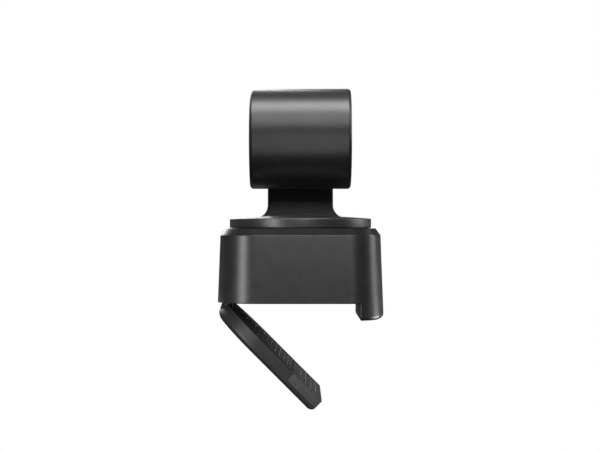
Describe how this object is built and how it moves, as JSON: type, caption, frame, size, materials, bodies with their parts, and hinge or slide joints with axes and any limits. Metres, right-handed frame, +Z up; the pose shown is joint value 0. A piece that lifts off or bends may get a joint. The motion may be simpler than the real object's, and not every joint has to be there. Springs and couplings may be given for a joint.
{
  "type": "clip-on pan and tilt webcam",
  "caption": "Two-axis webcam: barrel head on a one-sided arm and turntable, on a base with a front lip and folding rear leg that clips over a screen.",
  "frame": {"origin": "mouth of the tripod socket on the base's underside, on the pan axis", "axes": "+X towards the lens and the front lip, +Z up along the pan axis, +Y towards the arm's side"},
  "size_m": [0.0476, 0.046, 0.0909],
  "materials": {
    "alloy": "anodised",
    "black_screw": "black oxide",
    "board_green": "solder mask",
    "chip_black": "moulded package",
    "clear_glass": "coated cover glass",
    "copper": "enamelled copper wire",
    "flat_cable": "polyimide",
    "gloss_black": "polished",
    "grip_rubber": "soft matte rubber",
    "indicator": "diffusing plastic",
    "insert_metal": "nickel-plated brass",
    "leg_plastic": "fine satin moulded texture",
    "lens_alloy": "black anodised",
    "lens_glass": "coated optical glass",
    "magnet": "nickel plated",
    "shell_plastic": "fine satin moulded texture",
    "steel": "turned steel",
    "turntable_plastic": "fine satin moulded texture"
  },
  "bodies": {
    "base": {"ballast_plate": "steel", "base_cover": "shell_plastic", "base_housing": "shell_plastic", "base_screws": "black_screw", "board_chips": "chip_black", "board_screws": "steel", "front_board": "board_green", "hinge_pin": "steel", "hinge_washers": "steel", "indicator_led": "indicator", "indicator_lens": "indicator", "lip_grip_pad": "grip_rubber", "main_board": "board_green", "microphones": "steel", "pan_bearing_balls": "steel", "pan_bearing_races": "steel", "pan_coils": "copper", "pan_stator": "steel", "processor_shield": "steel", "tripod_insert": "insert_metal", "underside_pad": "grip_rubber", "usb_socket_shell": "steel", "usb_socket_tongue": "chip_black"},
    "turret": {"arm_cover": "shell_plastic", "arm_foot_screws": "steel", "arm_frame": "shell_plastic", "arm_ribbon": "flat_cable", "pan_bearing_inner": "steel", "pan_magnets": "magnet", "pan_rotor": "steel", "pan_shaft": "alloy", "tilt_bearing_outer": "steel", "tilt_coils": "copper", "tilt_stator": "steel", "turntable": "turntable_plastic"},
    "head": {"front_bezel": "gloss_black", "front_glass": "clear_glass", "head_board": "board_green", "head_chips": "chip_black", "head_shell": "shell_plastic", "heat_sink": "alloy", "image_sensor": "chip_black", "lens_holder": "lens_alloy", "lens_trim_ring": "lens_alloy", "rear_cap": "shell_plastic", "sensor_board": "board_green", "tilt_bearing_inner": "steel", "tilt_magnets": "magnet", "tilt_rotor": "steel", "tilt_shaft": "steel"},
    "lens": {"lens_barrel": "lens_alloy", "lens_elements": "lens_glass"},
    "leg": {"leg_frame": "leg_plastic", "leg_pad": "grip_rubber", "leg_tip_pad": "grip_rubber"}
  },
  "joints": [
    {"name": "pan", "type": "hinge", "parent": "base", "child": "turret", "pos_m": [0, 0, 0.0212], "axis": [0, 0, 1], "range_deg": [-150, 150]},
    {"name": "tilt", "type": "hinge", "parent": "turret", "child": "head", "pos_m": [0, 0, 0.04695], "axis": [0, -1, 0], "range_deg": [-90, 35]},
    {"name": "focus", "type": "slide", "parent": "head", "child": "lens", "axis": [1, 0, 0], "range_m": [0, 0.0003]},
    {"name": "leg_fold", "type": "hinge", "parent": "base", "child": "leg", "pos_m": [-0.0209, 0, -0.0009], "axis": [0, 1, 0], "range_deg": [-45, 35]}
  ]
}
